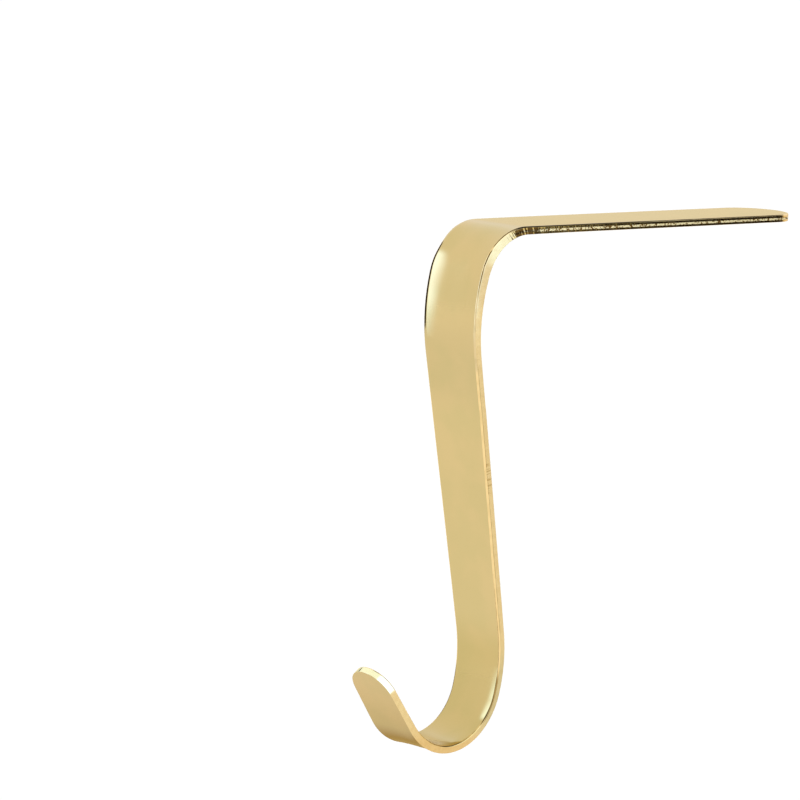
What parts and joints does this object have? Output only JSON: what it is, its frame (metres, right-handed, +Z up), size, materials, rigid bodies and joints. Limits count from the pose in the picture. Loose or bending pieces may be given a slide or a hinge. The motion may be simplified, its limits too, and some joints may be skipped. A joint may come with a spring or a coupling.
{
  "type": "mantel stocking holder",
  "caption": "Folded metal strip with a flat arm that lies on a mantel, a leg that leans in below its edge and an upturned tapered hook for a stocking's loop.",
  "frame": {"origin": "under the arm at the middle of its width, where its flat starts after the bend: the mantel's top front edge lies there", "axes": "+X across the strip, +Y along the arm onto the mantel, +Z up; the hook opens upwards and to the front, -Y"},
  "size_m": [0.016, 0.1174, 0.1086],
  "materials": {
    "gold_plate": "bright satin gold plating on a blanked and folded steel strip"
  },
  "bodies": {
    "root": {"holder_strip": "gold_plate"}
  },
  "joints": []
}
